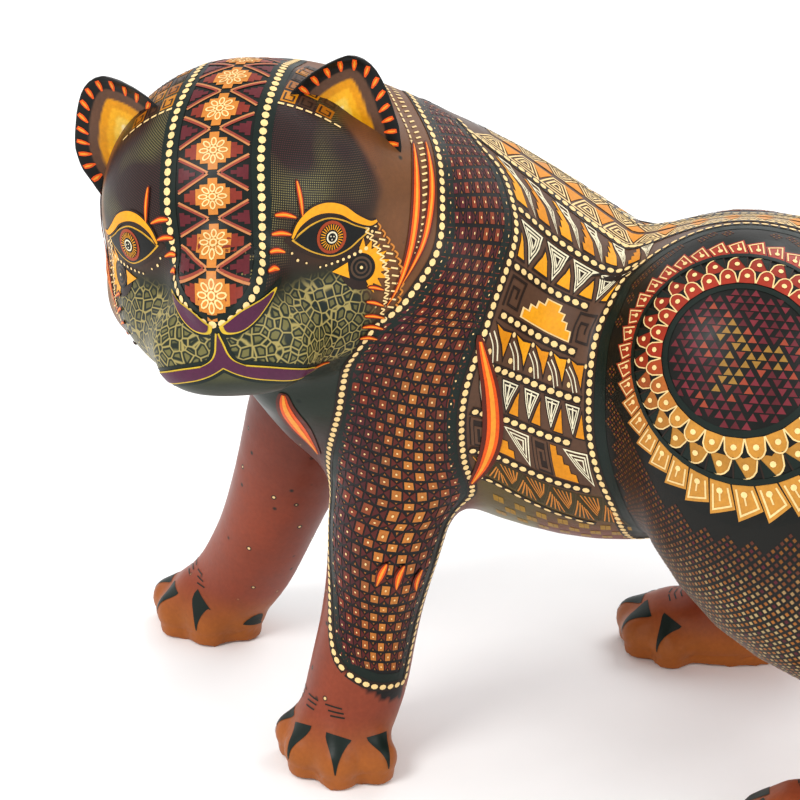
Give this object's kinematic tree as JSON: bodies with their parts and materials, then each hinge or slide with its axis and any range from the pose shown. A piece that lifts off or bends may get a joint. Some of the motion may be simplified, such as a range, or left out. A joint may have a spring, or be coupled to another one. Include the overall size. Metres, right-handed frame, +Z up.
{
  "type": "alebrije figure",
  "caption": "Carved and painted wooden cat figure in walking stance with turned head, plug-in ears and tail, standing on its four paws.",
  "frame": {"origin": "middle of the bounding box, on the floor under the paws", "axes": "+Z up; the body faces -Y and its tail points +Y; the figure's left side, towards which the head is turned, is +X"},
  "size_m": [0.2002, 0.4588, 0.2607],
  "materials": {
    "painted_wood": "satin hand-painted acrylic",
    "dowel_wood": "bare hardwood"
  },
  "bodies": {
    "figure": {"torso": "painted_wood", "head": "painted_wood", "front_leg_left": "painted_wood", "front_leg_right": "painted_wood", "hind_leg_left": "painted_wood", "hind_leg_right": "painted_wood", "neck_dowel": "dowel_wood", "front_leg_dowels_left": "dowel_wood", "front_leg_dowels_right": "dowel_wood", "hind_leg_dowels_left": "dowel_wood", "hind_leg_dowels_right": "dowel_wood"},
    "left_ear": {"ear_left": "painted_wood", "ear_peg_left": "dowel_wood"},
    "right_ear": {"ear_right": "painted_wood", "ear_peg_right": "dowel_wood"},
    "tail_piece": {"tail": "painted_wood", "tail_peg": "dowel_wood"}
  },
  "joints": [
    {"name": "left_ear_pull", "type": "slide", "parent": "figure", "child": "left_ear", "axis": [0.0115, 0.5532, 0.833], "range_m": [0, 0.03]},
    {"name": "right_ear_pull", "type": "slide", "parent": "figure", "child": "right_ear", "axis": [0.0979, -0.682, 0.7248], "range_m": [0, 0.03]},
    {"name": "tail_pull", "type": "slide", "parent": "figure", "child": "tail_piece", "axis": [0, 0.9404, -0.3401], "range_m": [0, 0.04]}
  ]
}
